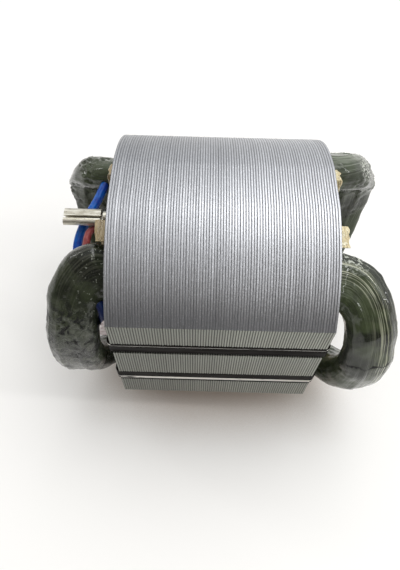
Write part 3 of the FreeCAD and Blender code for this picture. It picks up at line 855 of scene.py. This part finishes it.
    height = sum_up(tree, "ADD", times(tree, lines, 0.9), times(tree, grit, 0.12))
    height = sum_up(tree, "ADD", height, times(tree, fine, 0.35))
    height = sum_up(tree, "SUBTRACT", height, times(tree, pits, 0.5))
    height = sum_up(tree, "SUBTRACT", height, times(tree, times(tree, mottle, low_left), 1.6))
    bump = put(tree, "ShaderNodeBump", {"Strength": 0.7, "Distance": 0.0004, "Height": height})
    rough = spread(tree, pools, 0.35, 0.65, roughness, roughness + 0.12)
    gloss = spread(tree, sum_up(tree, "MAXIMUM", pocks, crack), 0.1, 0.8, 0.7, 0.0)
    skin = put(tree, "ShaderNodeBsdfPrincipled", {
        "Base Color": colour, "Roughness": rough, "Specular IOR Level": 0.2, "Coat Roughness": 0.04,
        "Coat Weight": gloss, "Normal": bump.outputs[0]})
    tree.links.new(skin.outputs[0], out.inputs[0])
    return finish


front_varnish = varnish_finish("varnished_tape_front", (0.008, 0.011, 0.005, 1), (0.045, 0.060, 0.025, 1),
                               (0.13, 0.15, 0.10, 1), (0.44, 0.45, 0.33, 1), 0.26,
                               (0.0245, -0.0105, 0.0205), 1.0)
rear_varnish = varnish_finish("varnished_tape_rear", (0.017, 0.023, 0.009, 1), (0.045, 0.061, 0.026, 1),
                              (0.16, 0.19, 0.12, 1), (0.17, 0.19, 0.14, 1), 0.36,
                              (0.0330, 0.0150, 0.0190), 0.3)
# Each end turn: reach, window, crown inset, root inset, depth, outer and inner
# exponent at the crown, and lean.  Each coil: right and left turn, shoulder,
# crumple, side (1 for the front pole, -1 for the rear one) and finish.
coils = {
    "front_coil": ((14.7, 4.1, 2.35, 3.25, 8.4, 2.6, 2.6, 0), (14.1, 2.9, 4.85, 4.85, 7.0, 2.6, 2.6, 0),
                   1.5, 0.10, 1, front_varnish),
    "rear_coil": ((16.9, 6.0, 2.25, 2.25, 8.4, 2.2, 4.5, 2.4), (15.7, 4.0, 4.55, 4.55, 7.0, 2.2, 4.5, 1.8),
                  0.0, 0.28, -1, rear_varnish)}
for seed, (name, (right, left, shoulder, crumple, side, finish)) in enumerate(coils.items()):
    rings, walk = coil_skin(right, left, shoulder, crumple, 20 + seed)
    quads, unwrap = coil_faces(rings.shape[0], rings.shape[1], walk)
    points = rings.reshape(-1, 3) * (1, side, side)
    coil = lay_mesh("wound_" + name, points, [quads], [finish], None, unwrap)
    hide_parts(name)
    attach(coil, "root")

# --------------------------------------------------------------- terminal
# A push-on receptacle folded from tinned brass, its two long edges curled in
# over the tab.  The tin is creamy and dull, with fine pits and a few scores.
finish, tree, out = finish_tree("dull_tin")
place = put(tree, "ShaderNodeTexCoord").outputs["Object"]
long = put(tree, "ShaderNodeMapping", {"Vector": place, "Scale": (0.15, 1.0, 1.0)}).outputs[0]
scores = cloud(tree, long, 2200, 3.0, 0.6)
pits = speckled(tree, place, 2600, 0.62, 0.05)
colour = tint(tree, spread(tree, scores, 0.35, 0.7), (0.50, 0.47, 0.38, 1), (0.78, 0.76, 0.68, 1))
colour = tint(tree, times(tree, pits, 0.6), colour, (0.24, 0.21, 0.16, 1))
bump = put(tree, "ShaderNodeBump", {"Strength": 0.4, "Distance": 0.00008, "Height": scores})
tin = put(tree, "ShaderNodeBsdfPrincipled", {
    "Base Color": colour, "Metallic": 0.85, "Roughness": spread(tree, scores, 0.3, 0.7, 0.25, 0.42),
    "Normal": bump.outputs[0]})
tree.links.new(tin.outputs[0], out.inputs[0])
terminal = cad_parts["terminal"]
terminal.data.materials.clear()
terminal.data.materials.append(finish)

# ------------------------------------------------------------------ leads
# Stranded copper in soft plastic insulation: a blue link from the rear coil
# to the front one, and a short red-brown lead from the terminal's crimp.


def insulation(name, colour, shade):
    """Soft plastic, a little darker in smears, with a dull gloss; far in
    beside the front coil, in the crevice there, it is darkened by painted shade."""
    finish, tree, out = finish_tree(name)
    place = put(tree, "ShaderNodeTexCoord").outputs["Object"]
    smears = cloud(tree, place, 420, 4.0, 0.6, 0.4)
    fine = cloud(tree, place, 3500, 2.0)
    mixed = tint(tree, spread(tree, smears, 0.4, 0.62), colour, shade)
    # Painted shade: darkened to navy far in beside the front coil, where it lies in the crevice.
    crevice_shade = spread(tree, parts_of(tree, place)[1], -0.0165, -0.0150, 0.85, 0.0)
    mixed = tint(tree, crevice_shade, mixed, (0.006, 0.006, 0.030, 1))
    bump = put(tree, "ShaderNodeBump", {"Strength": 0.15, "Distance": 0.00005, "Height": fine})
    skin = put(tree, "ShaderNodeBsdfPrincipled", {
        "Base Color": mixed, "Roughness": spread(tree, smears, 0.3, 0.7, 0.26, 0.40),
        "Specular IOR Level": 0.3, "Normal": bump.outputs[0]})
    tree.links.new(skin.outputs[0], out.inputs[0])
    return finish


def lead(name, route, diameter, finish):
    """Smooth round lead on a spline with the route's points as its controls."""
    curve = bpy.data.curves.new(name, "CURVE")
    curve.dimensions = "3D"
    spline = curve.splines.new("NURBS")
    spline.points.add(len(route) - 1)
    for point, place in zip(spline.points, route):
        point.co = (*place, 1.0)
    spline.order_u = 3
    spline.use_endpoint_u = True
    spline.resolution_u = 12
    curve.bevel_depth = diameter / 2
    curve.bevel_resolution = 6
    curve.use_fill_caps = True
    curve.materials.append(finish)
    piece = bpy.data.objects.new(name, curve)
    bpy.context.scene.collection.objects.link(piece)
    return piece


blue_route = [(-0.0238, 0.0110, 0.01838), (-0.0254, 0.0062, 0.0167), (-0.0281, 0.0012, 0.0153),
              (-0.0299, -0.0042, 0.0127), (-0.0286, -0.0096, 0.0088), (-0.0254, -0.0146, 0.0060),
              (-0.0224, -0.0196, 0.0086), (-0.0221, -0.0199, 0.0119), (-0.0227, -0.0179, 0.0142),
              (-0.0254, -0.0145, 0.0154)]
blue = lead("blue_link", blue_route, 0.0019, insulation("blue_plastic", (0.002, 0.115, 0.50, 1),
                                                        (0.006, 0.045, 0.34, 1)))
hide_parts("lead_blue")
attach(blue, "root")
red_route = [(-0.0237, 0.0, 0.01815), (-0.0193, 0.0, 0.01815), (-0.0188, -0.0032, 0.0170),
             (-0.0233, -0.0019, 0.0160), (-0.0265, -0.0013, 0.0160), (-0.0271, -0.0046, 0.0160),
             (-0.0265, -0.0104, 0.0167)]
red = lead("red_lead", red_route, 0.0015, insulation("red_plastic", (0.36, 0.085, 0.085, 1),
                                                     (0.20, 0.030, 0.030, 1)))
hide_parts("lead_red")
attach(red, "root")
